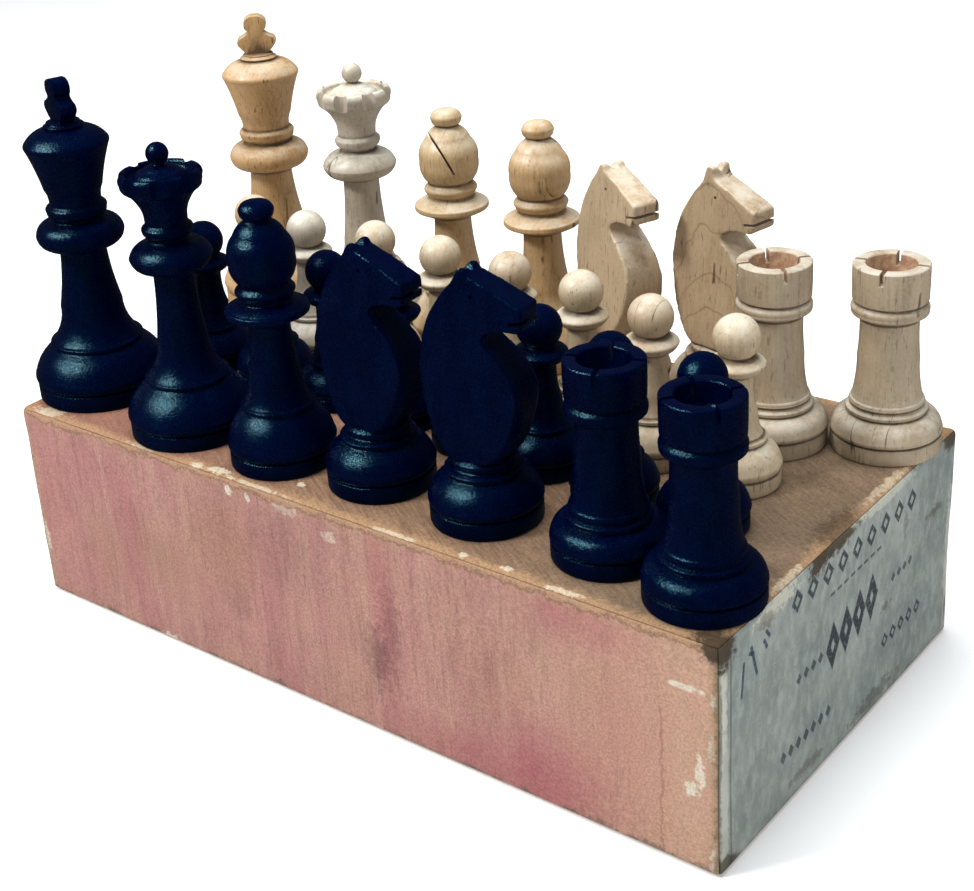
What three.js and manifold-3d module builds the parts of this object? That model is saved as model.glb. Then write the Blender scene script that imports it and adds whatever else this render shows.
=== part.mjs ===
// A full set of turned wooden chessmen standing on the closed lid of their own
// cardboard box. Millimetres, +Z up. X runs along the box, Y runs across it from
// the black men to the white men, and the origin is the middle of the tray's underside.

import * as THREE from 'three';
import { mergeVertices } from 'three/addons/utils/BufferGeometryUtils.js';
import Module from 'manifold-3d';

const wasm = await Module();
wasm.setup();

// Driving dimensions of the box.
const BOX_LENGTH = 225;
const BOX_WIDTH = 118;
const BOX_HEIGHT = 59;
const BOARD = 1.8;
const PAPER = 0.3;
const TRAY_GAP = 0.5;
const LID_RIM = 0.6;

// Driving dimensions of the chessmen: the radius of each foot.
const KING_FOOT = 18.2;
const QUEEN_FOOT = 16.7;
const BISHOP_FOOT = 13.7;
const KNIGHT_FOOT = 13.6;
const ROOK_FOOT = 13.5;
const PAWN_FOOT = 10.6;

// How thick the knight's sawn head is at the top, and just above its collar.
const HEAD_THICKNESS = 7.4;
const NECK_THICKNESS = 13.6;

// Saw cuts.
const ROOK_SLOT_WIDTH = 1.1;
const ROOK_SLOT_DEPTH = 3.2;
const QUEEN_SCALLOPS = 8;
const MITRE_CUT = 0.9;
const MITRE_REACH = 7.5;
const CROSS_THICKNESS = 4.6;

// Facets round a turned piece, and along one round of its outline.
const SEGMENTS = 12;
const STEP_ARC = 3;
const PAWN_ARC = 2;

// Materials.
const finish = (color, roughness) => new THREE.MeshStandardMaterial({ color, roughness, metalness: 0 });
const BLACK_LACQUER = finish(0x0b1524, 0.3);
const PALE_WOOD = finish(0xb39a7c, 0.55);
const GREY_BOARD = finish(0x8c7f6b, 0.9);
const KRAFT = finish(0xa08466, 0.9);
const PINK_PAPER = finish(0xb07a72, 0.85);
const LABEL_PAPER = finish(0x9aa6a0, 0.8);

// Solids.
function toSolid(geometry) {
  const bare = geometry.clone();
  bare.deleteAttribute('normal');
  bare.deleteAttribute('uv');
  const merged = mergeVertices(bare, 1e-4);
  return new wasm.Manifold(new wasm.Mesh({
    numProp: 3,
    vertProperties: new Float32Array(merged.attributes.position.array),
    triVerts: new Uint32Array(merged.index.array),
  }));
}

function toGeometry(solid) {
  const mesh = solid.getMesh();
  const geometry = new THREE.BufferGeometry();
  geometry.setAttribute('position', new THREE.BufferAttribute(mesh.vertProperties, 3));
  geometry.setIndex(new THREE.BufferAttribute(mesh.triVerts, 1));
  return geometry;
}

// A block given by its size and the middle of its underside.
function block(width, depth, height, x, y, z) {
  return new THREE.BoxGeometry(width, depth, height).translate(x, y, z + height / 2);
}

// A flat outline in X and Z, as thick as depth along Y, half of it to each side.
function upright(shape, depth) {
  const slab = new THREE.ExtrudeGeometry(shape, { depth, bevelEnabled: false, curveSegments: STEP_ARC });
  return toSolid(slab.translate(0, 0, -depth / 2).rotateX(Math.PI / 2));
}

// A turned piece. Each step is [radius, height], or [radius, height, bulge] where the
// run up to it is round: bulge is how far the run swells outwards, negative for a hollow.
function turned(steps, arc = STEP_ARC) {
  const path = new THREE.Path();
  path.moveTo(0, steps[0][1]);
  for (const [radius, height, bulge = 0] of steps) {
    const from = path.currentPoint.clone();
    const to = new THREE.Vector2(radius, height);
    if (bulge === 0) {
      path.lineTo(to.x, to.y);
      continue;
    }
    const along = to.clone().sub(from).normalize();
    const middle = from.add(to).multiplyScalar(0.5);
    path.quadraticCurveTo(middle.x + 2 * bulge * along.y, middle.y - 2 * bulge * along.x, to.x, to.y);
  }
  path.lineTo(0, path.currentPoint.y);
  return new THREE.LatheGeometry(path.getPoints(arc), SEGMENTS).rotateX(Math.PI / 2);
}

// The foot that every chessman shares: a ring, a domed shoulder, and a step in to the lip.
function foot(radius, domeTop, lipRadius) {
  return [[radius, 0], [radius - 0.2, 4.4], [lipRadius - 0.3, domeTop, 0.15 * radius], [lipRadius, domeTop + 1.6]];
}

// Chessmen, each standing on z = 0 about the Z axis.
function king() {
  const body = toSolid(turned([
    ...foot(KING_FOOT, 14.6, 12.9),
    [6.3, 42, -2.4],
    [12.2, 47.4, 0.9],
    [7.3, 52.2, 0.9],
    [8.2, 54.4],
    [7.2, 56.6],
    [11.4, 72.4],
    [5.3, 77.2, 1.2],
    [4.3, 79.6],
  ]));
  const root = 79;
  const cross = new THREE.Shape();
  cross.moveTo(-3, root);
  cross.lineTo(-5.2, 82.8);
  cross.lineTo(-5, 85.8);
  cross.lineTo(-2.8, 87);
  cross.lineTo(-3.2, 89.6);
  cross.quadraticCurveTo(0, 93.6, 3.2, 89.6);
  cross.lineTo(2.8, 87);
  cross.lineTo(5, 85.8);
  cross.lineTo(5.2, 82.8);
  cross.lineTo(3, root);
  return toGeometry(body.add(upright(cross, CROSS_THICKNESS)));
}

function queen() {
  const rimRadius = 10.2;
  const rimHeight = 71;
  let crown = toSolid(turned([
    ...foot(QUEEN_FOOT, 14.6, 11.1),
    [5.1, 44, -2],
    [11, 49.6, 0.9],
    [5.2, 54.2, 0.9],
    [6.5, 56.9],
    [5.5, 58.8],
    [rimRadius, 69, -0.8],
    [rimRadius - 0.8, rimHeight],
    [rimRadius - 2.2, rimHeight],
    [rimRadius - 3, 69.4],
    [1.8, 74, 0.8],
    [2.9, 76.4, 0.5],
    [0.6, 79.2, 0.8],
  ]));
  for (let i = 0; i < QUEEN_SCALLOPS; i += 1) {
    const scallop = new THREE.CylinderGeometry(2, 2, 9, 6).rotateZ(Math.PI / 2);
    scallop.rotateY(0.35).translate(rimRadius, 0, rimHeight + 0.3);
    crown = crown.subtract(toSolid(scallop.rotateZ((i * 2 * Math.PI) / QUEEN_SCALLOPS)));
  }
  return toGeometry(crown);
}

function bishop() {
  const body = toSolid(turned([
    ...foot(BISHOP_FOOT, 14.8, 9.5),
    [5.2, 37.4, -1.6],
    [10.5, 41.2, 0.4],
    [6.4, 43.8],
    [7.2, 46.6],
    [6.5, 48.4],
    [3.3, 64.8, 3],
    [4.2, 66.9, 0.4],
    [1.5, 69.2, 0.6],
  ]));
  const mitre = new THREE.BoxGeometry(7, 20, MITRE_CUT).translate(MITRE_REACH, 0, 0).rotateY(-0.9);
  return toGeometry(body.subtract(toSolid(mitre.translate(0, 0, 56))));
}

// The knight: a turned blank with its face cut to an outline and its sides sawn to a wedge.
function knight() {
  const collar = 17.2;
  const earRoot = 61;
  const base = toSolid(turned([
    ...foot(KNIGHT_FOOT, 12.4, 9.3),
    [8.2, collar - 1.4],
    [7.2, collar],
  ]));
  const blank = toSolid(turned([
    [6.8, collar - 0.6],
    [13.6, 36, 1.6],
    [14.4, 54],
    [9, 66],
  ]));
  const face = new THREE.Shape();
  face.moveTo(-7, collar - 0.6);
  face.quadraticCurveTo(-13, 27, -12.8, 40);
  face.quadraticCurveTo(-12.4, 50, -6.4, 59);
  face.lineTo(-4.8, 64.4);
  face.lineTo(-2.8, 63.8);
  face.lineTo(-1.8, earRoot);
  face.lineTo(11.6, 54.2);
  face.quadraticCurveTo(14, 52.4, 13, 48.8);
  face.lineTo(11.6, 47.8);
  face.lineTo(4, 47.4);
  face.quadraticCurveTo(1.6, 46.6, 3, 44.8);
  face.quadraticCurveTo(12, 38, 13, 30);
  face.quadraticCurveTo(12, 22, 7, collar - 0.6);
  const wedge = new THREE.Shape();
  wedge.moveTo(-NECK_THICKNESS / 2, 0);
  wedge.lineTo(NECK_THICKNESS / 2, 0);
  wedge.lineTo(NECK_THICKNESS / 2, collar);
  wedge.lineTo(HEAD_THICKNESS / 2, 50);
  wedge.lineTo(HEAD_THICKNESS / 2, 70);
  wedge.lineTo(-HEAD_THICKNESS / 2, 70);
  wedge.lineTo(-HEAD_THICKNESS / 2, 50);
  wedge.lineTo(-NECK_THICKNESS / 2, collar);
  const sides = upright(wedge, 60).rotate([0, 0, 90]);
  const earNotch = toSolid(block(8, HEAD_THICKNESS / 3, 6, -4, 0, earRoot + 0.6));
  const head = upright(face, 60).intersect(sides).intersect(blank).subtract(earNotch);
  return toGeometry(head.add(base));
}

function rook() {
  const rim = 9.2;
  const top = 48;
  let tower = toSolid(turned([
    ...foot(ROOK_FOOT, 9.4, 9.4),
    [8.5, 15.4],
    [7.2, 34.4, -0.5],
    [9.1, 36.6],
    [9, 39.4, 0.4],
    [rim, 40.4],
    [rim, top],
    [rim - 3, top],
    [rim - 3.6, top - 5],
  ]));
  for (const turn of [0, Math.PI / 2]) {
    const slot = block(ROOK_SLOT_WIDTH, 3 * rim, ROOK_SLOT_DEPTH + 1, 0, 0, top - ROOK_SLOT_DEPTH);
    tower = tower.subtract(toSolid(slot.rotateZ(turn)));
  }
  return toGeometry(tower);
}

function pawn() {
  return turned([
    [PAWN_FOOT, 0],
    [PAWN_FOOT - 0.1, 4.4],
    [7.2, 11.8, 1.8],
    [3.7, 26.4, -1.4],
    [6.8, 31, 0.3],
    [3.4, 32.8],
    [5.7, 37.4, 0.9],
    [3.4, 42, 0.9],
    [0.8, 43.1],
  ], PAWN_ARC);
}

// Where each man stands on the lid: its node, x, y, and its turn in degrees.
const BLACK_MEN = [
  ['black_king', king, -101.5, -36.8, 2],
  ['black_queen', queen, -59.5, -41.5, 0],
  ['black_bishop_1', bishop, -25, -42.5, 120],
  ['black_knight_1', knight, 5, -38.6, 3],
  ['black_knight_2', knight, 38, -39, 8],
  ['black_rook_1', rook, 72.6, -38.6, 20],
  ['black_rook_2', rook, 99.8, -43.4, 50],
];
const WHITE_MEN = [
  ['white_king', king, -105.4, 42, 43],
  ['white_queen', queen, -67.6, 41.8, 10],
  ['white_bishop_1', bishop, -34, 42.6, 200],
  ['white_bishop_2', bishop, -3.2, 43.8, 60],
  ['white_knight_1', knight, 24.6, 38.6, -20],
  ['white_knight_2', knight, 52.4, 45.2, -11],
  ['white_rook_1', rook, 75.9, 30.4, 45],
  ['white_rook_2', rook, 100.8, 42, 10],
];

// The pawns stand in two rows, each a steady step apart and a little out of line.
const BLACK_PAWNS = { first: -85.6, step: 24.2, y: [-7, -7.5, -8, -9, -10, -11.5, -17, -16.7] };
const WHITE_PAWNS = { first: -89.3, step: 24.1, y: [17.3, 14.2, 16.6, 15.6, 14.8, 12.4, 7, 6.1] };

const chessSet = new THREE.Group();

function place(parent, name, geometry, material) {
  const mesh = new THREE.Mesh(geometry, material);
  mesh.name = name;
  parent.add(mesh);
  return mesh;
}

function stand(parent, name, geometry, material, x, y, turn = 0) {
  const man = place(parent, name, geometry, material);
  man.position.set(x, y, BOX_HEIGHT);
  man.rotation.z = THREE.MathUtils.degToRad(turn);
}

// An open box: the outer block less the room inside it, which runs out through one end.
function openBox(length, width, height, z, roomFrom, roomTo) {
  const outer = toSolid(block(length, width, height, 0, 0, z));
  const room = block(length - 2 * BOARD, width - 2 * BOARD, roomTo - roomFrom, 0, 0, roomFrom);
  return toGeometry(outer.subtract(toSolid(room)));
}

function box() {
  const lidLength = BOX_LENGTH - 2 * PAPER;
  const lidWidth = BOX_WIDTH - 2 * PAPER;
  const ceiling = BOX_HEIGHT - BOARD;
  const trayLength = lidLength - 2 * BOARD - 2 * TRAY_GAP;
  const trayWidth = lidWidth - 2 * BOARD - 2 * TRAY_GAP;
  place(chessSet, 'tray', openBox(trayLength, trayWidth, ceiling, 0, BOARD, BOX_HEIGHT), GREY_BOARD);
  place(chessSet, 'lid', openBox(lidLength, lidWidth, BOX_HEIGHT - LID_RIM, LID_RIM, -1, ceiling), KRAFT);
  const sheet = BOX_HEIGHT - LID_RIM - 2 * PAPER;
  const low = LID_RIM + PAPER;
  const wallY = (lidWidth + PAPER) / 2;
  const wallX = (lidLength + PAPER) / 2;
  place(chessSet, 'side_paper_front', block(lidLength, PAPER, sheet, 0, -wallY, low), PINK_PAPER);
  place(chessSet, 'side_paper_back', block(lidLength, PAPER, sheet, 0, wallY, low), PINK_PAPER);
  place(chessSet, 'end_label', block(PAPER, lidWidth, sheet, wallX, 0, low), LABEL_PAPER);
  place(chessSet, 'end_paper', block(PAPER, lidWidth, sheet, -wallX, 0, low), PINK_PAPER);
}

function men() {
  const shapes = new Map([king, queen, bishop, knight, rook, pawn].map((make) => [make, make()]));
  for (const [list, wood] of [[BLACK_MEN, BLACK_LACQUER], [WHITE_MEN, PALE_WOOD]]) {
    for (const [name, make, x, y, turn] of list) {
      stand(chessSet, name, shapes.get(make), wood, x, y, turn);
    }
  }
  for (const [side, row, wood] of [['black', BLACK_PAWNS, BLACK_LACQUER], ['white', WHITE_PAWNS, PALE_WOOD]]) {
    row.y.forEach((y, i) => {
      stand(chessSet, `${side}_pawn_${i + 1}`, shapes.get(pawn), wood, row.first + i * row.step, y);
    });
  }
  // The spare black bishop lies in the tray, its foot towards -X.
  const spare = place(chessSet, 'black_bishop_2', shapes.get(bishop), BLACK_LACQUER);
  spare.position.set(-20, 20, BOARD + BISHOP_FOOT + 0.8);
  spare.rotation.y = Math.PI / 2;
}

box();
men();

export default chessSet;
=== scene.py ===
"""Turned wooden chessmen standing on the closed lid of their cardboard box.

Every piece is turned, sawn or folded here from a primitive, in millimetres, and set down where
its CAD node stands. The pale men share one figure of wood with a tone each, the black men share
one lacquer, and the box is board with a paper wrap and a pasted label.
"""

import math

import bpy
from mathutils import Matrix, Quaternion, Vector, noise


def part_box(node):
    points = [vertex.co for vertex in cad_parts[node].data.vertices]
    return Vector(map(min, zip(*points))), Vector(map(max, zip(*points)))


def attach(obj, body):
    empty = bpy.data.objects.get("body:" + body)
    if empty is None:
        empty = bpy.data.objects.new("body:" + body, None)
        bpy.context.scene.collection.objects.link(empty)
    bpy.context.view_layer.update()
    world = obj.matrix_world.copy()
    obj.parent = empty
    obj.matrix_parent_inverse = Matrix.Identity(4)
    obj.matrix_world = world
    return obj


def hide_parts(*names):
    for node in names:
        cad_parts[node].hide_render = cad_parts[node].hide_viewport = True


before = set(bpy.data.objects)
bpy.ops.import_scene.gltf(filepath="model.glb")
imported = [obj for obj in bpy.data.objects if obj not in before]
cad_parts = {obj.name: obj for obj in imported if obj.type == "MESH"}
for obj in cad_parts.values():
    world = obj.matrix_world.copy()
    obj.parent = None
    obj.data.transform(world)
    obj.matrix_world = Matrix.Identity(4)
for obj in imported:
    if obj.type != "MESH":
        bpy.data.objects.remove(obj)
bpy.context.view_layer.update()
bpy.ops.object.select_all(action="DESELECT")

MM = 0.001
WELD = 1e-6
BALL_STEPS = 14
WALL_CUTS = 31
LID_WALL, TRAY_WALL = 1.7, 1.8
EDGE_ROWS = (0.4, 0.9, 1.5, 2.2, 3.2)
EDGE_ROUND = 1.9
LID_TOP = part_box("lid")[1].z / MM
HALF_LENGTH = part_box("end_label")[1].x / MM
HALF_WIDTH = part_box("side_paper_back")[1].y / MM


# ---------------------------------------------------------------- camera, lights and floor

CAMERA_PLACE = (0.2610, -0.3128, 0.2538)
CAMERA_AZIMUTH, CAMERA_ELEVATION, CAMERA_ROLL = 40.02, 23.37, -4.11
CAMERA_LENS = 62.58
CAMERA_SHIFT = (0.0345, -0.0955)
FLOOR_DROP = -0.0002


def stand_camera():
    azimuth, elevation, roll = map(math.radians, (CAMERA_AZIMUTH, CAMERA_ELEVATION, CAMERA_ROLL))
    back = Vector((
        math.sin(azimuth) * math.cos(elevation),
        -math.cos(azimuth) * math.cos(elevation),
        math.sin(elevation),
    ))
    bpy.ops.object.camera_add(location=CAMERA_PLACE)
    camera = bpy.context.object
    camera.name = "camera"
    camera.rotation_mode = "QUATERNION"
    camera.rotation_quaternion = (-back).to_track_quat("-Z", "Y") @ Quaternion((0, 0, 1), roll)
    camera.data.sensor_width = 36
    camera.data.lens = CAMERA_LENS
    camera.data.shift_x, camera.data.shift_y = CAMERA_SHIFT
    camera.data.clip_start = 0.02
    bpy.context.scene.camera = camera


def hang_light(name, location, target, size, watts, colour):
    bpy.ops.object.light_add(type="AREA", location=location)
    light = bpy.context.object
    light.name = name
    light.data.shape = "RECTANGLE"
    light.data.size, light.data.size_y = size
    light.data.energy = watts
    light.data.color = colour
    light.rotation_mode = "QUATERNION"
    light.rotation_quaternion = (Vector(target) - Vector(location)).to_track_quat("-Z", "Y")
    return light


def light_studio():
    hang_light("window", (-0.5, -0.7, 0.9), (0, 0, 0.08), (0.26, 0.22), 10, (1, 0.985, 0.96))
    sky = hang_light("sky", (-0.1, 0.05, 1.2), (0, 0, 0), (0.9, 0.8), 17.5, (0.97, 0.985, 1))
    fill = hang_light(
        "right_fill", (1.2, -0.1, 0.5), (0, 0, 0.06), (0.8, 0.8), 3.4, (0.93, 0.97, 1),
    )
    sky.visible_glossy = False
    fill.visible_glossy = False
    world = bpy.data.worlds.new("studio")
    bpy.context.scene.world = world
    world.use_nodes = True
    tree = world.node_tree
    tree.nodes.clear()
    seen = add(tree, "Background", {"Color": (1, 1, 1), "Strength": 1})
    lit = add(tree, "Background", {"Color": (0.93, 0.97, 1), "Strength": 0.22})
    mirrored = add(tree, "Background", {"Color": (0.9, 0.96, 1), "Strength": 0.03})
    path = add(tree, "LightPath").outputs
    for_gloss = add(tree, "MixShader", {
        0: path["Is Glossy Ray"], 1: lit.outputs[0], 2: mirrored.outputs[0],
    })
    for_eye = add(tree, "MixShader", {
        0: path["Is Camera Ray"], 1: for_gloss.outputs[0], 2: seen.outputs[0],
    })
    add(tree, "OutputWorld", {"Surface": for_eye.outputs[0]})
    bpy.context.scene.view_settings.view_transform = "Standard"


def lay_floor():
    bpy.ops.mesh.primitive_plane_add(size=6, location=(0, 0, FLOOR_DROP))
    floor = bpy.context.object
    floor.name = "floor"
    floor.visible_glossy = False
    material = bpy.data.materials.new("pale_floor")
    material.use_nodes = True
    shader = material.node_tree.nodes["Principled BSDF"]
    set_up(shader, {
        "Base Color": (0.88, 0.88, 0.88, 1), "Emission Color": (1, 1, 1, 1),
        "Emission Strength": 0.2,
        "Roughness": 0.9, "Specular IOR Level": 0.1,
    })
    floor.data.materials.append(material)


# ---------------------------------------------------------------- shader building

def add(tree, kind, sockets=None, **settings):
    """A shader node with its settings made and its sockets set or linked."""
    made = tree.nodes.new("ShaderNode" + kind)
    for key, value in settings.items():
        setattr(made, key, value)
    for key, value in (sockets or {}).items():
        plug(tree, made.inputs[key], value)
    return made


def plug(tree, socket, value):
    """Links a socket or sets it. A colour may be given as three numbers."""
    if isinstance(value, bpy.types.NodeSocket):
        tree.links.new(value, socket)
    elif socket.type == "RGBA":
        socket.default_value = (*value, 1)
    else:
        socket.default_value = value


def set_up(shader, values):
    for name, value in values.items():
        shader.inputs[name].default_value = value


def mix(tree, factor, under, over, mode="MIX"):
    made = add(tree, "Mix", None, data_type="RGBA", blend_type=mode)
    for index, value in ((0, factor), (6, under), (7, over)):
        plug(tree, made.inputs[index], value)
    return made.outputs[2]


def lay(tree, colour, mask, strength, paint):
    """Lays a paint over a colour where a mask is, at a strength."""
    return mix(tree, times(tree, mask, strength), colour, paint)


def sums(tree, operation, first, second=0.0):
    return add(tree, "Math", {0: first, 1: second}, operation=operation).outputs[0]


def times(tree, first, second):
    return sums(tree, "MULTIPLY", first, second)


def plus(tree, first, second):
    return sums(tree, "ADD", first, second)


def less(tree, first, second):
    return sums(tree, "SUBTRACT", first, second)


def unsigned(tree, value):
    return sums(tree, "ABSOLUTE", value)


def fade(tree, value, low, high, to_low=0.0, to_high=1.0):
    made = add(tree, "MapRange", None, interpolation_type="SMOOTHSTEP")
    for key, setting in (
        ("Value", value), ("From Min", low), ("From Max", high), ("To Min", to_low),
        ("To Max", to_high),
    ):
        plug(tree, made.inputs[key], setting)
    return made.outputs[0]


def vectors(tree, operation, first, second=(0, 0, 0)):
    return add(tree, "VectorMath", {0: first, 1: second}, operation=operation).outputs[0]


def stretch(tree, vector, factors):
    return vectors(tree, "MULTIPLY", vector, factors)


def axes(tree, vector):
    return add(tree, "SeparateXYZ", {0: vector}).outputs


def marked(tree, name):
    """A mark recorded on the piece's own points."""
    return add(tree, "Attribute", None, attribute_name=name).outputs["Fac"]


def cloud(tree, vector, scale, detail, roughness):
    return add(tree, "TexNoise", {
        "Vector": vector, "Scale": scale, "Detail": detail, "Roughness": roughness,
    }).outputs[0]


def new_group(name, inputs, outputs):
    tree = bpy.data.node_groups.new(name, "ShaderNodeTree")
    for label, kind, value in inputs:
        tree.interface.new_socket(
            name=label, in_out="INPUT", socket_type="NodeSocket" + kind,
        ).default_value = value
    for label, kind in outputs:
        tree.interface.new_socket(name=label, in_out="OUTPUT", socket_type="NodeSocket" + kind)
    return tree, tree.nodes.new("NodeGroupInput").outputs, tree.nodes.new("NodeGroupOutput").inputs


def use(tree, group, **sockets):
    made = tree.nodes.new("ShaderNodeGroup")
    made.node_tree = group
    for key, value in sockets.items():
        plug(tree, made.inputs[key], value)
    return made.outputs


def wood_figure_group():
    """Lengthwise fibres, growth rings seen on the curve, dark pores and fine cracks."""
    tree, given, result = new_group(
        "wood_figure",
        [
            ("Vector", "Vector", (0, 0, 0)), ("Ring_Scale", "Float", 330.0),
            ("Ring_Bend", "Float", 2.0),
        ],
        [
            ("Fibre", "Float"), ("Rings", "Float"), ("Pores", "Float"), ("Checks", "Float"),
            ("Height", "Float"),
        ],
    )
    place = given["Vector"]
    fibre = cloud(tree, stretch(tree, place, (1, 1, 0.07)), 1100, 4, 0.65)
    broad = cloud(tree, stretch(tree, place, (1, 1, 0.3)), 150, 3, 0.55)
    mottle = cloud(tree, place, 1300, 4, 0.7)
    rings = add(tree, "TexWave", {
        "Vector": stretch(tree, place, (1, 0.35, 0.09)), "Scale": given["Ring_Scale"],
        "Distortion": given["Ring_Bend"], "Detail": 2.0, "Detail Scale": 0.4,
    }, wave_type="BANDS", bands_direction="X").outputs["Fac"]
    pores = fade(tree, cloud(tree, stretch(tree, place, (1, 1, 0.16)), 1500, 2, 0.5), 0.63, 0.72)
    tree.links.new(
        times(tree, plus(tree, plus(tree, fibre, broad), mottle), 0.3333), result["Fibre"],
    )
    tree.links.new(sums(tree, "POWER", rings, 2.2), result["Rings"])
    tree.links.new(pores, result["Pores"])
    split = unsigned(
        tree, less(tree, cloud(tree, stretch(tree, place, (1, 0.2, 0.04)), 260, 1, 0.4), 0.5),
    )
    checks = times(
        tree, fade(tree, split, 0.009, 0.002),
        fade(tree, cloud(tree, place, 120, 2, 0.5), 0.55, 0.63),
    )
    tree.links.new(checks, result["Checks"])
    tree.links.new(less(tree, fibre, plus(tree, times(tree, pores, 0.8), checks)), result["Height"])
    return tree


def patina_and_light_group():
    """Painted shade with grime in the hollows, painted top light on upward faces in ragged patches,
    and blotches.
    """
    tree, given, result = new_group(
        "patina_and_painted_light",
        [("Vector", "Vector", (0, 0, 0)), ("Hollow", "Float", 0.0), ("Facing_Up", "Float", 0.0)],
        [("Painted_Shade_And_Grime", "Float"), ("Painted_Top_Light", "Float"), ("Blotch", "Float")],
    )
    place = given["Vector"]
    ragged = cloud(tree, place, 420, 4, 0.65)
    # Painted shade, with grime: darker the deeper a point sits in a groove or hollow.
    shade_and_grime = fade(tree, times(tree, given["Hollow"], plus(tree, ragged, 0.55)), 0.25, 0.95)
    # Painted top light: faces that look up are made paler, in ragged patches.
    painted_top_light = times(
        tree, fade(tree, given["Facing_Up"], 0.0, 0.9),
        fade(tree, cloud(tree, place, 160, 5, 0.7), 0.3, 0.62),
    )
    tree.links.new(shade_and_grime, result["Painted_Shade_And_Grime"])
    tree.links.new(painted_top_light, result["Painted_Top_Light"])
    tree.links.new(fade(tree, cloud(tree, place, 75, 3, 0.6), 0.38, 0.66), result["Blotch"])
    return tree


def patch_group():
    """A ragged patch round a centre, for a stain, a chip or a tear."""
    tree, given, result = new_group(
        "patch",
        [
            ("Vector", "Vector", (0, 0, 0)), ("Centre", "Vector", (0, 0, 0)),
            ("Reach", "Vector", (1, 1, 1)),
            ("Ragged", "Float", 0.5), ("Grain", "Float", 600.0), ("Soft", "Float", 0.3),
        ],
        [("Mask", "Float")],
    )
    away = vectors(tree, "SUBTRACT", given["Vector"], given["Centre"])
    share = vectors(tree, "DIVIDE", away, given["Reach"])
    far = add(tree, "VectorMath", {0: share}, operation="LENGTH").outputs["Value"]
    torn = times(
        tree, less(tree, cloud(tree, given["Vector"], given["Grain"], 4, 0.6), 0.5),
        times(tree, given["Ragged"], 4.0),
    )
    edge = plus(tree, far, torn)
    tree.links.new(
        fade(tree, edge, plus(tree, given["Soft"], 1.0), less(tree, 1.0, given["Soft"])),
        result["Mask"],
    )
    return tree


def print_group():
    """One printed ornament on the label: a bar or a lozenge, solid or hollow, worn in places."""
    tree, given, result = new_group(
        "printed_ornament",
        [
            ("Vector", "Vector", (0, 0, 0)), ("Centre", "Vector", (0, 0, 0)),
            ("Half", "Vector", (1, 1, 1)),
            ("Turn", "Float", 0.0), ("Lozenge", "Float", 0.0), ("Inside", "Float", -1.0),
        ],
        [("Mask", "Float")],
    )
    away = vectors(tree, "SUBTRACT", given["Vector"], given["Centre"])
    turned_to = add(
        tree, "VectorRotate", {"Vector": away, "Angle": given["Turn"]}, rotation_type="X_AXIS",
    ).outputs[0]
    share = vectors(tree, "DIVIDE", turned_to, given["Half"])
    size = axes(tree, vectors(tree, "ABSOLUTE", share))
    corner = times(tree, sums(tree, "MINIMUM", size[1], size[2]), given["Lozenge"])
    edge = plus(tree, sums(tree, "MAXIMUM", size[1], size[2]), corner)
    opened = fade(tree, edge, less(tree, given["Inside"], 0.08), plus(tree, given["Inside"], 0.08))
    worn = fade(tree, cloud(tree, given["Vector"], 1500, 3, 0.7), 0.3, 0.42)
    inked = times(tree, fade(tree, edge, 1.1, 0.92), opened)
    tree.links.new(times(tree, inked, worn), result["Mask"])
    return tree


def paper_group():
    """Paper and board: fine tooth, long fibres, and grubby clouds."""
    tree, given, result = new_group(
        "paper_tooth",
        [("Vector", "Vector", (0, 0, 0)), ("Run", "Vector", (1, 1, 0.1))],
        [("Tooth", "Float"), ("Streak", "Float"), ("Grubby", "Float"), ("Speck", "Float")],
    )
    place = given["Vector"]
    along = stretch(tree, place, given["Run"])
    tree.links.new(cloud(tree, place, 1600, 4, 0.7), result["Tooth"])
    tree.links.new(cloud(tree, along, 420, 5, 0.65), result["Streak"])
    tree.links.new(fade(tree, cloud(tree, place, 55, 5, 0.65), 0.32, 0.7), result["Grubby"])
    tree.links.new(fade(tree, cloud(tree, place, 900, 2, 0.5), 0.68, 0.76), result["Speck"])
    return tree


FIGURE = wood_figure_group()
PATINA_AND_LIGHT = patina_and_light_group()
PATCH = patch_group()
PRINT = print_group()
TOOTH = paper_group()


def begin_material(name):
    material = bpy.data.materials.new(name)
    material.use_nodes = True
    tree = material.node_tree
    shader = tree.nodes["Principled BSDF"]
    place = tree.nodes.new("ShaderNodeTexCoord").outputs["Object"]
    return material, tree, shader, place


def facing_up(tree):
    normal = tree.nodes.new("ShaderNodeNewGeometry").outputs["Normal"]
    return axes(tree, normal)[2]


def relief(tree, shader, height, distance, strength):
    bump = add(tree, "Bump", {"Height": height, "Distance": distance, "Strength": strength})
    tree.links.new(bump.outputs[0], shader.inputs["Normal"])


ARCH_STEEPNESS = 95.0
ARCH_WANDER = 0.012
ARCHES_PER_METRE = 92.0


def arches(tree, place, node):
    """Fine arched rings about one man's middle, as a board sawn through its heart shows them."""
    low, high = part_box(node)
    spot = axes(tree, place)
    across = less(tree, spot[0], (low.x + high.x) / 2)
    drop = times(tree, times(tree, across, across), ARCH_STEEPNESS)
    wander = times(tree, cloud(tree, place, 90, 2, 0.5), ARCH_WANDER)
    height = plus(tree, plus(tree, spot[2], drop), wander)
    near = unsigned(
        tree, less(tree, sums(tree, "FRACT", times(tree, height, ARCHES_PER_METRE)), 0.5),
    )
    return fade(tree, near, 0.05, 0.01)


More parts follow.
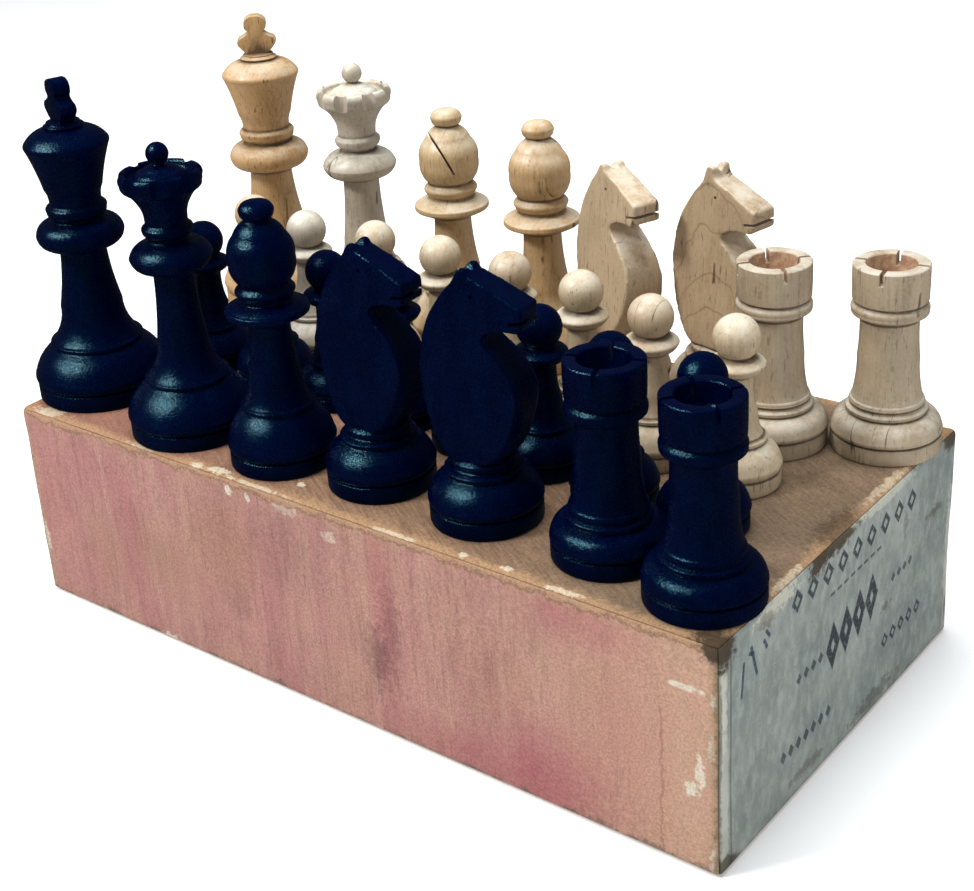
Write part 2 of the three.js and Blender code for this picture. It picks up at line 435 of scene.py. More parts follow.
def pale_wood(name, tone, dark, streaks, rings, pores, top_light_strength, ring_scale=330.0, arched_on=None):
    """Natural wood under an old thin varnish. tone is between its grain and dark is in it."""
    material, tree, shader, place = begin_material(name)
    figure = use(tree, FIGURE, Vector=place, Ring_Scale=ring_scale, Ring_Bend=5.0)
    hollow = marked(tree, "hollow")
    worn = use(tree, PATINA_AND_LIGHT, Vector=place, Hollow=hollow, Facing_Up=facing_up(tree))
    pale_bloom = tuple(min(0.95, 1.18 * c + 0.03) for c in tone)
    colour = mix(tree, fade(tree, figure["Fibre"], 0.38, 0.62), tone, pale_bloom)
    colour = lay(tree, colour, fade(tree, figure["Fibre"], 0.48, 0.36), streaks, dark)
    ringed = arches(tree, place, arched_on) if arched_on else figure["Rings"]
    colour = lay(tree, colour, ringed, rings, dark)
    colour = lay(tree, colour, worn["Blotch"], 0.22, tuple(0.72 * c for c in tone))
    colour = lay(tree, colour, figure["Pores"], pores, tuple(0.3 * c for c in dark))
    # Painted top light: a pale cream laid over faces that look up.
    colour = lay(tree, colour, worn["Painted_Top_Light"], top_light_strength, (0.78, 0.76, 0.66))
    cup = marked(tree, "cup")
    rusty = mix(
        tree, fade(tree, cloud(tree, place, 600, 4, 0.7), 0.4, 0.6), (0.34, 0.17, 0.095),
        (0.5, 0.34, 0.22),
    )
    colour = lay(tree, colour, cup, 0.8, rusty)
    colour = lay(tree, colour, figure["Checks"], 0.8, (0.07, 0.04, 0.02))
    # Painted shade, with grime, in the hollows: a near-black brown.
    colour = lay(tree, colour, worn["Painted_Shade_And_Grime"], 0.85, (0.085, 0.045, 0.022))
    tree.links.new(colour, shader.inputs["Base Color"])
    tree.links.new(fade(tree, figure["Fibre"], 0.3, 0.7, 0.5, 0.36), shader.inputs["Roughness"])
    set_up(shader, {"Specular IOR Level": 0.42, "Coat Weight": 0.12, "Coat Roughness": 0.25})
    relief(tree, shader, figure["Height"], 0.0002, 0.35)
    return material


def black_lacquer():
    """Thick blue-black lacquer, brushed on and finely pebbled, so that its highlights sparkle."""
    material, tree, shader, place = begin_material("black_lacquer")
    hollow = marked(tree, "hollow")
    worn = use(tree, PATINA_AND_LIGHT, Vector=place, Hollow=hollow, Facing_Up=facing_up(tree))
    peel = cloud(tree, place, 1700, 3, 0.7)
    ripple = cloud(tree, stretch(tree, place, (1, 1, 0.4)), 240, 2, 0.5)
    colour = mix(tree, fade(tree, ripple, 0.35, 0.65), (0, 0.0003, 0.013), (0, 0.0009, 0.017))
    # Painted sheen: a teal tint on faces that look up, standing in for the reflection of light from
    # above.
    colour = lay(tree, colour, worn["Painted_Top_Light"], 0.35, (0.0001, 0.004, 0.016))
    # Painted shade, with grime, in the hollows: a deeper navy.
    colour = lay(tree, colour, worn["Painted_Shade_And_Grime"], 0.45, (0, 0.0003, 0.008))
    tree.links.new(colour, shader.inputs["Base Color"])
    tree.links.new(fade(tree, peel, 0.3, 0.7, 0.17, 0.33), shader.inputs["Roughness"])
    set_up(shader, {
        "Specular IOR Level": 0.36, "Specular Tint": (0.1, 0.72, 0.95, 1),
        "Coat Weight": 0.22, "Coat Roughness": 0.07, "Coat IOR": 1.4,
    })
    pebbled = plus(tree, times(tree, peel, 0.8), ripple)
    bump = add(tree, "Bump", {"Height": pebbled, "Distance": 0.0005, "Strength": 0.36})
    for socket in ("Normal", "Coat Normal"):
        tree.links.new(bump.outputs[0], shader.inputs[socket])
    return material


def patches(tree, place, colour, marks, paint, soft=0.3):
    """Lays ragged patches of one paint over a colour.

    marks are centre, reach, ragged and strength, the first two in millimetres.
    """
    for centre, reach, ragged, strength in marks:
        mask = use(
            tree, PATCH, Vector=place, Centre=[c * MM for c in centre],
            Reach=[r * MM for r in reach], Ragged=ragged, Soft=soft,
        )["Mask"]
        colour = lay(tree, colour, mask, strength, paint)
    return colour


def from_corner(tree, spot):
    """How far a wall's point is past the box's nearer upright corner, which is less than nought."""
    normal = tree.nodes.new("ShaderNodeNewGeometry").outputs["Normal"]
    faces = unsigned(tree, axes(tree, normal)[0])
    past = [
        less(
            tree, unsigned(tree, spot[i]), far * MM,
        ) for i, far in ((0, HALF_LENGTH), (1, HALF_WIDTH))
    ]
    on_end = sums(tree, "GREATER_THAN", faces, 0.7)
    return plus(tree, times(tree, past[1], on_end), times(tree, past[0], less(tree, 1.0, on_end)))


def pink_wrap():
    """The pink paper, faded to tan, mottled, finely streaked, and rubbed through at its edges."""
    material, tree, shader, place = begin_material("pink_wrap")
    tooth = use(tree, TOOTH, Vector=place, Run=(1, 1, 0.11))
    spot = axes(tree, place)
    broad = cloud(tree, stretch(tree, place, (1, 1, 0.4)), 36, 6, 0.68)
    colour = mix(tree, fade(tree, broad, 0.34, 0.64), (0.37, 0.165, 0.16), (0.42, 0.235, 0.185))
    faint = cloud(tree, stretch(tree, place, (1, 1, 0.05)), 170, 3, 0.6)
    colour = mix(tree, fade(tree, faint, 0.5, 0.72, 0, 0.5), colour, (0.47, 0.3, 0.23))
    colour = mix(
        tree, fade(tree, tooth["Streak"], 0.52, 0.32, 0, 0.5), colour, (0.27, 0.115, 0.105),
    )
    colour = lay(tree, colour, tooth["Grubby"], 0.32, (0.31, 0.195, 0.135))
    fine = cloud(tree, stretch(tree, place, (1, 1, 0.07)), 1000, 3, 0.7)
    colour = mix(tree, fade(tree, fine, 0.52, 0.74, 0, 0.6), colour, (0.22, 0.105, 0.085))
    tan_end = fade(tree, spot[0], 0.05, 0.112)
    colour = lay(tree, colour, tan_end, 0.62, (0.52, 0.34, 0.22))
    front = -HALF_WIDTH
    magenta = [
        ((68, front, 8), (13, 9, 13), 0.35, 0.6), ((77, front, 53), (12, 9, 5), 0.35, 0.42),
        ((20, front, 38), (3.6, 9, 22), 0.4, 0.42),
        ((45, front, 5), (22, 9, 6), 0.4, 0.4), ((-72, front, 30), (4, 9, 30), 0.4, 0.22),
        ((88, front, 24), (9, 9, 22), 0.4, 0.2),
        ((-104, front, 26), (7, 9, 30), 0.4, 0.25),
    ]
    colour = patches(tree, place, colour, magenta, (0.34, 0.09, 0.115), 0.85)
    smears = [
        ((17, front, 22), (3.6, 9, 8), 0.6, 0.6), ((-31, front, 22), (4, 9, 5), 0.6, 0.22),
        ((22, front, 30), (3, 9, 14), 0.6, 0.3), ((-14, front, 43), (9, 9, 9), 0.5, 0.22),
    ]
    colour = patches(tree, place, colour, smears, (0.13, 0.06, 0.06), 0.7)
    browned = [
        ((-34, front, 38), (9, 9, 13), 0.6, 0.4), ((-58, front, 26), (11, 9, 8), 0.6, 0.3),
        ((-84, front, 20), (8, 9, 10), 0.6, 0.22), ((52, front, 30), (10, 9, 10), 0.6, 0.22),
    ]
    colour = patches(tree, place, colour, browned, (0.27, 0.15, 0.085), 0.8)
    scuffs = [
        ((-9, front, 56), (4, 9, 1.6), 0.9, 0.35), ((4, front, 52), (1.8, 9, 1.6), 1.0, 0.4),
        ((104, front, 46.6), (4.4, 9, 0.8), 0.6, 0.75),
        ((111, front, 45), (1, 9, 2.4), 0.7, 0.8), ((107.6, front, 26), (1.1, 9, 4.2), 0.8, 0.8),
        ((105.6, front, 21), (1.6, 9, 2.2), 0.8, 0.8),
        ((-111, front, 17), (1.5, 9, 5), 0.7, 0.75), ((-61, front, 0.6), (3.2, 9, 1.6), 0.8, 0.8),
        ((111.4, front, 4), (1.2, 9, 4), 0.8, 0.8),
        ((-30, front, 55.6), (1.1, 9, 1.4), 0.8, 0.75),
        ((-23, front, 55.4), (0.8, 9, 1.2), 0.8, 0.7),
        ((110.4, front, 33), (0.8, 9, 3.4), 0.8, 0.55),
    ]
    colour = patches(tree, place, colour, scuffs, (0.62, 0.58, 0.47))
    edge_noise = times(tree, less(tree, cloud(tree, place, 170, 6, 0.75), 0.5), 0.009)
    # Painted shade in a crease near the right end of the front, 34 to 45 mm up: a thin dark line,
    # with no dent shaped.
    crease_at = unsigned(
        tree, less(tree, plus(tree, spot[0], times(tree, edge_noise, 0.6)), 98 * MM),
    )
    crease = times(
        tree, fade(tree, crease_at, 0.55 * MM, 0.1 * MM), fade(tree, spot[2], 45 * MM, 34 * MM),
    )
    colour = lay(tree, colour, crease, 0.5, (0.26, 0.095, 0.085))
    height = plus(tree, spot[2], edge_noise)
    worn_top = fade(tree, height, (LID_TOP - 3.4) * MM, (LID_TOP - 1.2) * MM)
    colour = lay(tree, colour, worn_top, 0.8, (0.36, 0.22, 0.125))
    fold = fade(tree, unsigned(tree, less(tree, height, (LID_TOP - 1.9) * MM)), 0.6 * MM, 0.1 * MM)
    colour = lay(tree, colour, fold, 0.45, (0.12, 0.06, 0.04))
    low_line = fade(tree, height, 1.7 * MM, 0.5 * MM)
    colour = lay(tree, colour, low_line, 0.7, (0.13, 0.1, 0.075))
    past_corner = plus(tree, from_corner(tree, spot), edge_noise)
    to_end = fade(tree, past_corner, -3.6 * MM, -0.8 * MM)
    colour = lay(tree, colour, to_end, 0.75, (0.34, 0.235, 0.14))
    at_corner = fade(tree, past_corner, -1.8 * MM, -0.6 * MM)
    colour = lay(tree, colour, at_corner, 0.55, (0.13, 0.085, 0.05))
    colour = patches(
        tree, place, colour, [((112, front, 58.4), (4, 9, 4), 0.6, 1.0)], (0.07, 0.046, 0.028), 0.4,
    )
    colour = lay(tree, colour, tooth["Speck"], 0.3, (0.14, 0.08, 0.06))
    grit = fade(tree, tooth["Tooth"], 0.3, 0.7, 0.78, 1.18)
    tree.links.new(vectors(tree, "MULTIPLY", colour, grit), shader.inputs["Base Color"])
    tree.links.new(fade(tree, tooth["Streak"], 0.3, 0.7, 0.72, 0.86), shader.inputs["Roughness"])
    shader.inputs["Specular IOR Level"].default_value = 0.25
    relief(tree, shader, plus(tree, tooth["Tooth"], tooth["Streak"]), 0.0003, 0.5)
    return material


def kraft_top():
    """The lid's board: tan kraft with a fine slanting grain, pinker towards the kings."""
    material, tree, shader, place = begin_material("kraft_board")
    slant = add(
        tree, "VectorRotate", {"Vector": place, "Angle": 0.55}, rotation_type="Z_AXIS",
    ).outputs[0]
    tooth = use(tree, TOOTH, Vector=slant, Run=(0.3, 3.6, 1))
    spot = axes(tree, place)
    colour = mix(
        tree, fade(tree, tooth["Streak"], 0.36, 0.64), (0.2, 0.115, 0.073), (0.32, 0.2, 0.118),
    )
    colour = lay(tree, colour, tooth["Grubby"], 0.4, (0.17, 0.105, 0.075))
    colour = lay(tree, colour, fade(tree, spot[0], 0.02, -0.09), 0.55, (0.32, 0.13, 0.105))
    # Darker and greyer towards the label end: partly a stain, partly painted shade cast by the men
    # near that end.
    colour = lay(tree, colour, fade(tree, spot[0], 0.03, 0.1), 0.5, (0.145, 0.122, 0.085))
    to_side = sums(
        tree, "MAXIMUM", less(tree, unsigned(tree, spot[0]), HALF_LENGTH * MM),
        less(tree, unsigned(tree, spot[1]), HALF_WIDTH * MM),
    )
    ragged = times(tree, less(tree, cloud(tree, place, 230, 5, 0.7), 0.5), 0.008)
    rim = fade(tree, plus(tree, to_side, ragged), -0.0044, -0.0012)
    colour = lay(tree, colour, rim, 0.7, (0.43, 0.26, 0.14))
    top = LID_TOP
    chips = [
        ((-34, -57, top), (3, 1.3, 4), 0.9, 0.85), ((-11, -51.5, top), (1.3, 1, 4), 0.6, 0.95),
        ((-42, -57.4, top), (2.4, 1, 4), 0.9, 0.75),
        ((45, -57, top), (1.3, 0.9, 4), 0.8, 0.9), ((-102, -56.5, top), (5, 2, 4), 0.9, 0.6),
        ((57, -56.8, top), (1.6, 0.9, 4), 0.8, 0.8),
        ((72, -57.6, top), (4, 0.8, 4), 0.8, 0.7), ((110.4, 22, top), (1.2, 11, 4), 0.9, 0.5),
        ((111, -28, top), (1, 6, 4), 0.8, 0.6),
        ((-20, -58, top), (9, 0.6, 4), 0.9, 0.6), ((24, -58, top), (6, 0.6, 4), 0.8, 0.6),
        ((-63, -57.8, top), (4, 0.7, 4), 0.9, 0.5),
    ]
    colour = patches(tree, place, colour, chips, (0.62, 0.54, 0.4))
    bruises = [
        ((111, -57.2, top), (6, 5, 6), 0.6, 1.0), ((109.6, -2, top), (3.4, 9, 5), 0.6, 0.7),
        ((97, 16, top), (6, 4, 5), 0.6, 0.35),
    ]
    colour = patches(tree, place, colour, bruises, (0.075, 0.05, 0.03), 0.5)
    colour = lay(tree, colour, tooth["Speck"], 0.4, (0.09, 0.055, 0.035))
    grit = fade(tree, tooth["Tooth"], 0.3, 0.7, 0.74, 1.2)
    tree.links.new(vectors(tree, "MULTIPLY", colour, grit), shader.inputs["Base Color"])
    tree.links.new(fade(tree, tooth["Streak"], 0.3, 0.7, 0.78, 0.9), shader.inputs["Roughness"])
    shader.inputs["Specular IOR Level"].default_value = 0.2
    relief(tree, shader, plus(tree, tooth["Tooth"], tooth["Streak"]), 0.0004, 0.6)
    return material


def grey_board():
    """Bare box board, as the tray is and the lid is inside."""
    material, tree, shader, place = begin_material("grey_board")
    tooth = use(tree, TOOTH, Vector=place, Run=(0.2, 1, 1))
    colour = mix(tree, fade(tree, tooth["Streak"], 0.3, 0.7), (0.25, 0.2, 0.145), (0.36, 0.3, 0.22))
    colour = lay(tree, colour, tooth["Grubby"], 0.35, (0.17, 0.13, 0.09))
    colour = lay(tree, colour, tooth["Speck"], 0.5, (0.1, 0.08, 0.06))
    tree.links.new(colour, shader.inputs["Base Color"])
    tree.links.new(fade(tree, tooth["Tooth"], 0.3, 0.7, 0.82, 0.94), shader.inputs["Roughness"])
    shader.inputs["Specular IOR Level"].default_value = 0.2
    relief(tree, shader, tooth["Tooth"], 0.0003, 0.5)
    return material


# Printed ornaments on the label: middle along Y, middle height, half width, half height, turn.
FRIEZE = [(-25.5 + 7.3 * i, 52.6 - 0.25 * i, 2.6, 3.1, 0.0) for i in range(9)]
HEAVY_LOZENGES = [(-7.6 + 6.6 * i, 31.2 + 0.9 * i, 3.4, 6.6, 0.0) for i in range(4)]
LOW_LOZENGES = [(20.5 + 4.6 * i, 17.2, 1.9, 2.2, 0.0) for i in range(5)]
SMALL_DASHES = [(-8.5 + 3.4 * i, 45.6, 1.1, 0.4, 0.0) for i in range(8)]
SIDE_LOZENGES = [
    (-24 + 3.4 * i, 31.4, 1.3, 1.6, 0.0) for i in range(4)
] + [(24 + 3.2 * i, 33.4, 1.2, 1.4, 0.0) for i in range(4)]
LOWEST_LOZENGES = [(-31 + 3.6 * i, 14.2, 1.4, 1.8, 0.0) for i in range(7)]
PEN_STROKES = [
    (-49.3, 45.6, 0.45, 4.3, 0.12), (-44.5, 48, 0.5, 4.4, -0.3), (-45.6, 50.3, 1.3, 0.5, 0.5),
    (-38.6, 51.6, 1.5, 0.45, 0.9), (-39.6, 49.5, 0.5, 1.6, -0.5),
]


def printed(tree, place, colour, ornaments, ink, strength, lozenge=1.0, inside=-1.0):
    for along, height, half_wide, half_high, turn in ornaments:
        mask = use(
            tree, PRINT, Vector=place, Centre=(HALF_LENGTH * MM, along * MM, height * MM),
            Half=(1, half_wide * MM, half_high * MM), Turn=turn, Lozenge=lozenge, Inside=inside,
        )["Mask"]
        colour = lay(tree, colour, mask, strength, ink)
    return colour


def grey_label():
    """The pasted end label: grey-green paper, scratched, with printed lozenges and pen strokes."""
    material, tree, shader, place = begin_material("grey_label")
    tooth = use(tree, TOOTH, Vector=place, Run=(1, 1, 0.5))
    spot = axes(tree, place)
    clouded = cloud(tree, place, 38, 5, 0.65)
    colour = mix(tree, fade(tree, clouded, 0.34, 0.66), (0.2, 0.235, 0.225), (0.34, 0.37, 0.34))
    colour = lay(tree, colour, tooth["Grubby"], 0.3, (0.22, 0.22, 0.18))
    colour = mix(tree, fade(tree, tooth["Streak"], 0.45, 0.7, 0, 0.45), colour, (0.42, 0.45, 0.41))
    colour = mix(tree, fade(tree, tooth["Streak"], 0.5, 0.3, 0, 0.35), colour, (0.15, 0.175, 0.165))
    ink = (0.035, 0.045, 0.06)
    colour = printed(tree, place, colour, FRIEZE + LOW_LOZENGES, ink, 0.9, 1.0, 0.45)
    colour = printed(tree, place, colour, HEAVY_LOZENGES, ink, 0.95, 1.0, 0.28)
    colour = printed(tree, place, colour, SIDE_LOZENGES + LOWEST_LOZENGES, ink, 0.8)
    colour = printed(tree, place, colour, SMALL_DASHES, ink, 0.75, 0.0)
    colour = printed(tree, place, colour, PEN_STROKES, (0.02, 0.04, 0.09), 0.85, 0.0)
    end = HALF_LENGTH
    rubs = [
        ((end, -34, 57), (5, 9, 2), 0.9, 0.7), ((end, 3, 59), (5, 6, 1.4), 0.7, 0.8),
        ((end, -57, 20), (5, 1.6, 26), 0.4, 0.45),
        ((end, -57.6, 45), (5, 1.6, 12), 0.6, 0.7), ((end, 56.5, 22), (5, 1.2, 20), 0.7, 0.5),
        ((end, 20, 57.6), (5, 14, 1.2), 0.7, 0.6),
    ]
    colour = patches(tree, place, colour, rubs, (0.6, 0.58, 0.47))
    scars = [
        ((end, -7, 58.4), (5, 11, 2.8), 0.6, 0.95), ((end, -15, 57), (5, 5, 2.6), 0.6, 0.95),
        ((end, -58, 58), (5, 5.4, 5.4), 0.6, 1.0),
        ((end, -58.4, 30), (5, 0.7, 28), 0.5, 0.6), ((end, -39, 55), (5, 3, 2), 0.9, 0.5),
        ((end, 30, 45), (5, 1.6, 3), 1.0, 0.35),
        ((end, 55.5, 58), (5, 4, 3.4), 0.4, 0.95), ((end, 57.6, 8), (5, 1.4, 4), 0.5, 0.8),
        ((end, 20, 27), (5, 2.4, 1), 1.0, 0.5),
        ((end, 47, 41), (5, 4, 1), 1.0, 0.5), ((end, 15, 4), (5, 10, 2), 1.0, 0.45),
        ((end, -20, 5), (5, 8, 1.5), 1.0, 0.4),
        ((end, -57, 2), (5, 5, 2.6), 0.5, 0.85),
    ]
    colour = patches(tree, place, colour, scars, (0.08, 0.06, 0.038))
    # Painted shade along a crease 4.8 mm in from the front corner: a dark line, which the relief
    # also sinks as a groove.
    crease = fade(
        tree, unsigned(tree, plus(tree, spot[1], (HALF_WIDTH - 4.8) * MM)), 0.5 * MM, 0.1 * MM,
    )
    colour = lay(tree, colour, crease, 0.55, (0.09, 0.085, 0.08))
    colour = lay(tree, colour, tooth["Speck"], 0.45, (0.09, 0.09, 0.08))
    low = fade(tree, spot[2], 1.6 * MM, 0.6 * MM)
    colour = lay(tree, colour, low, 0.6, (0.08, 0.075, 0.065))
    tree.links.new(colour, shader.inputs["Base Color"])
    tree.links.new(fade(tree, tooth["Tooth"], 0.3, 0.7, 0.6, 0.8), shader.inputs["Roughness"])
    shader.inputs["Specular IOR Level"].default_value = 0.36
    height = less(tree, plus(tree, tooth["Tooth"], times(tree, clouded, 4)), times(tree, crease, 2))
    relief(tree, shader, height, 0.0004, 0.45)
    return material


# ---------------------------------------------------------------- shaping

def run(steps, arc=7):
    """Points of an outline in millimetres. A step is (across, up), or (across, up, bulge) where
    the stretch up to it is round and bulge is how far it swells to its right, or to its left
    where bulge is negative."""
    points = [tuple(steps[0][:2])]
    for step in steps[1:]:
        (x0, z0), (x1, z1) = points[-1], step[:2]
        if len(step) == 2:
            points.append((x1, z1))
            continue
        length = math.hypot(x1 - x0, z1 - z0)
        bend_x = (x0 + x1) / 2 + 2 * step[2] * (z1 - z0) / length
        bend_z = (z0 + z1) / 2 - 2 * step[2] * (x1 - x0) / length
        for i in range(1, arc + 1):
            t = i / arc
            points.append((
                (1 - t) ** 2 * x0 + 2 * t * (1 - t) * bend_x + t * t * x1,
                (1 - t) ** 2 * z0 + 2 * t * (1 - t) * bend_z + t * t * z1,
            ))
    return points


def edit(whole=True):
    bpy.ops.object.mode_set(mode="EDIT")
    if whole:
        bpy.ops.mesh.select_all(action="SELECT")


def leave_edit():
    bpy.ops.object.mode_set(mode="OBJECT")


def only(piece):
    bpy.ops.object.select_all(action="DESELECT")
    piece.select_set(True)
    bpy.context.view_layer.objects.active = piece


def settle(piece):
    """Puts the object's own place, turn and size into its mesh."""
    only(piece)
    bpy.ops.object.transform_apply(location=True, rotation=True, scale=True)


def outwards(piece):
    only(piece)
    edit()
    bpy.ops.mesh.remove_doubles(threshold=WELD)
    bpy.ops.mesh.normals_make_consistent(inside=False)
    leave_edit()


def finish_with(piece, kind, **settings):
    """Adds a modifier, sets it and applies it."""
    only(piece)
    modifier = piece.modifiers.new(kind.lower(), kind)
    for key, value in settings.items():
        setattr(modifier, key, value)
    bpy.ops.object.modifier_apply(modifier=modifier.name)


def ease(piece, width=0.25, angle=28):
    finish_with(
        piece, "BEVEL", width=width * MM, segments=2, limit_method="ANGLE",
        angle_limit=math.radians(angle), use_clamp_overlap=True,
    )


def smooth(piece, angle=38):
    only(piece)
    bpy.ops.object.shade_smooth_by_angle(angle=math.radians(angle))


def turn_on_lathe(name, steps, around=64):
    """A disc drawn up ring by ring along an outline of (radius, height) steps."""
    outline = run(steps)
    radius, height = outline[0]
    bpy.ops.mesh.primitive_circle_add(
        vertices=around, radius=radius * MM, fill_type="NGON", location=(0, 0, height * MM),
    )
    piece = bpy.context.object
    piece.name = name
    settle(piece)
    edit()
    for next_radius, next_height in outline[1:]:
        bpy.ops.mesh.extrude_region_move(
            TRANSFORM_OT_translate={"value": (0, 0, (next_height - height) * MM)}
        )
        grow = next_radius / radius
        bpy.ops.transform.resize(value=(grow, grow, 1), center_override=(0, 0, next_height * MM))
        radius, height = next_radius, next_height
    leave_edit()
    outwards(piece)
    return piece


def saw_out(name, outline, thickness):
    """A board of that thickness along Y, cut to an outline in X and Z."""
    bpy.ops.mesh.primitive_plane_add(size=MM)
    piece = bpy.context.object
    piece.name = name
    edit()
    bpy.ops.mesh.merge(type="CENTER")
    x, z = outline[0]
    bpy.ops.transform.translate(value=(x * MM, -thickness / 2 * MM, z * MM))
    for next_x, next_z in outline[1:]:
        bpy.ops.mesh.extrude_vertices_move(
            TRANSFORM_OT_translate={"value": ((next_x - x) * MM, 0, (next_z - z) * MM)}
        )
        x, z = next_x, next_z
    bpy.ops.mesh.select_all(action="SELECT")
    bpy.ops.mesh.remove_doubles(threshold=WELD)
    bpy.ops.mesh.edge_face_add()
    bpy.ops.mesh.extrude_region_move(TRANSFORM_OT_translate={"value": (0, thickness * MM, 0)})
    leave_edit()
    outwards(piece)
    return piece


def block(name, size, centre, turn=(0, 0, 0)):
    bpy.ops.mesh.primitive_cube_add(size=1, location=[c * MM for c in centre], rotation=turn)
    piece = bpy.context.object
    piece.name = name
    piece.scale = [s * MM for s in size]
    settle(piece)
    return piece


def open_up(piece, side):
    """Takes away the flat face that looks along side."""
    only(piece)
    edit(False)
    bpy.ops.mesh.select_mode(type="FACE")
    bpy.ops.mesh.select_all(action="DESELECT")
    leave_edit()
    for face in piece.data.polygons:
        face.select = face.normal.dot(Vector(side)) > 0.5
    edit(False)
    bpy.ops.mesh.delete(type="FACE")
    bpy.ops.mesh.select_mode(type="VERT")
    leave_edit()


def combine(piece, tool, operation):
    """Joins or cuts with a tool, which is then thrown away."""
    finish_with(piece, "BOOLEAN", operation=operation, object=tool, solver="EXACT")
    bpy.data.objects.remove(tool)


def mark_hollows(piece, hollows):
    """Records how deep in a hollow each point sits. hollows are (height, reach) in millimetres."""
    marks = piece.data.attributes.get("hollow") or piece.data.attributes.new(
        "hollow", "FLOAT", "POINT",
    )
    for vertex, mark in zip(piece.data.vertices, marks.data):
        z = vertex.co.z / MM
        mark.value = max([0.0] + [1 - abs(z - height) / reach for height, reach in hollows])


def mark_cup(piece, radius, bottom):
    """Records the inside of a hollowed top, where the wood has darkened to rust."""
    marks = piece.data.attributes.new("cup", "FLOAT", "POINT")
    for vertex, mark in zip(piece.data.vertices, marks.data):
        across = math.hypot(vertex.co.x, vertex.co.y) / MM
        mark.value = float(across < radius and vertex.co.z / MM > bottom)


def foot(radius, groove, dome, lip, lip_radius, fullness):
    """The foot every man has: a ring, a fine groove, a dome, and the small lip above it."""
    return [
        (radius - 0.3, 0), (radius, 0.5), (radius, groove - 0.3), (radius - 0.9, groove),
        (radius - 0.2, groove + 0.3),
        (radius, dome, 0.15 * (dome - groove)), (lip_radius - 0.3, lip - 0.9, fullness),
        (lip_radius - 0.4, lip - 0.6),
        (lip_radius, lip, 0.2), (lip_radius - 0.2, lip + 0.5, 0.12), (lip_radius - 0.9, lip + 0.8),
    ]


def ball(radius, height, low, high):
    """Points up the side of a ball, from one angle above its waist to another, in degrees."""
    angles = [math.radians(low + (high - low) * i / BALL_STEPS) for i in range(BALL_STEPS + 1)]
    return [(radius * math.cos(a), height + radius * math.sin(a)) for a in angles]


def make_king():
    king = turn_on_lathe("king", [
        *foot(18.2, 4.8, 8.0, 15.9, 12.9, 0.85),
        (8.6, 26.6, -1.0), (6.4, 41.6, -0.35), (7.3, 42.9, -0.3), (8.4, 43.4),
        (12.1, 47.2, 1.05), (7.9, 51.0, 1.15), (7.2, 51.4), (7.2, 52.2), (8.2, 53.8, 0.35),
        (7.9, 55.3, 0.35),
        (7.2, 55.8), (7.1, 56.6), (8.0, 60.2, -0.25), (11.3, 71.6, -0.25), (11.2, 73.4, 0.35),
        (5.6, 76.8, 0.7),
        (5.0, 77.0), (5.5, 77.6, 0.2), (4.4, 78.2), (4.5, 78.6, 0.1), (2.6, 79.0),
    ])
    ease(king, 0.2)
    cross = saw_out("cross", run([
        (-3.4, 77.6), (-3.0, 79.0, 0.1), (-5.0, 80.9, -0.15), (-5.2, 83.6, -0.7),
        (-2.6, 85.0, 0.15), (-2.5, 85.8, 0.1),
        (-3.3, 87.6, -0.3), (-2.2, 89.7, -0.35), (0, 90.2, -0.2), (2.2, 89.7, -0.2),
        (3.3, 87.6, -0.35), (2.5, 85.8, -0.3),
        (2.6, 85.0, 0.1), (5.2, 83.6, 0.15), (5.0, 80.9, -0.7), (3.0, 79.0, -0.15),
        (3.4, 77.6, 0.1),
    ], 4), 4.6)
    ease(cross, 1.1, 50)
    combine(king, cross, "UNION")
    mark_hollows(
        king,
        [
            (4.8, 0.6), (15.2, 0.7), (16.9, 0.8), (42.8, 1.6), (51.6, 1.3), (56.0, 1.0),
            (77.0, 0.7), (79.0, 0.8),
        ],
    )
    smooth(king)
    return king


def make_queen():
    queen = turn_on_lathe("queen", [
        *foot(16.7, 4.3, 7.4, 15.7, 11.1, 0.8),
        (6.7, 26.2, -0.9), (5.3, 44.0, -0.3), (6.6, 45.7, -0.3),
        (10.9, 49.3, 1.1), (6.0, 53.2, 1.05), (5.2, 53.8), (5.3, 54.8), (6.6, 56.2, 0.35),
        (6.2, 57.6, 0.3),
        (5.5, 58.2), (5.6, 59.4), (6.7, 63.6, -0.3), (9.2, 66.9, -0.2), (10.7, 69.2, 0.5),
        (10.4, 71.8, 0.4), (9.6, 72.1, 0.1),
        (8.8, 71.4, 0.1), (8.0, 69.9, -0.2), (7.0, 70.4), (4.6, 72.2, 0.4), (1.9, 73.4, 0.3),
        (1.5, 73.9, -0.1),
        *ball(2.95, 76.4, -58, 86),
    ])
    for i in range(8):
        bpy.ops.mesh.primitive_cylinder_add(vertices=32, radius=2.1 * MM, depth=14 * MM)
        scoop = bpy.context.object
        scoop.matrix_world = (
            Matrix.Rotation(i * math.pi / 4, 4, "Z") @ Matrix.Translation(
                (11.3 * MM, 0, 69.5 * MM)
            ) @ Matrix.Rotation(-0.1, 4, "Y")
        )
        settle(scoop)
        combine(queen, scoop, "DIFFERENCE")
    ease(queen, 0.2, 34)
    mark_hollows(
        queen,
        [(4.3, 0.6), (15.0, 0.7), (16.7, 0.8), (45.6, 1.4), (53.9, 1.2), (58.6, 1.0), (73.8, 0.6)],
    )
    smooth(queen)
    return queen


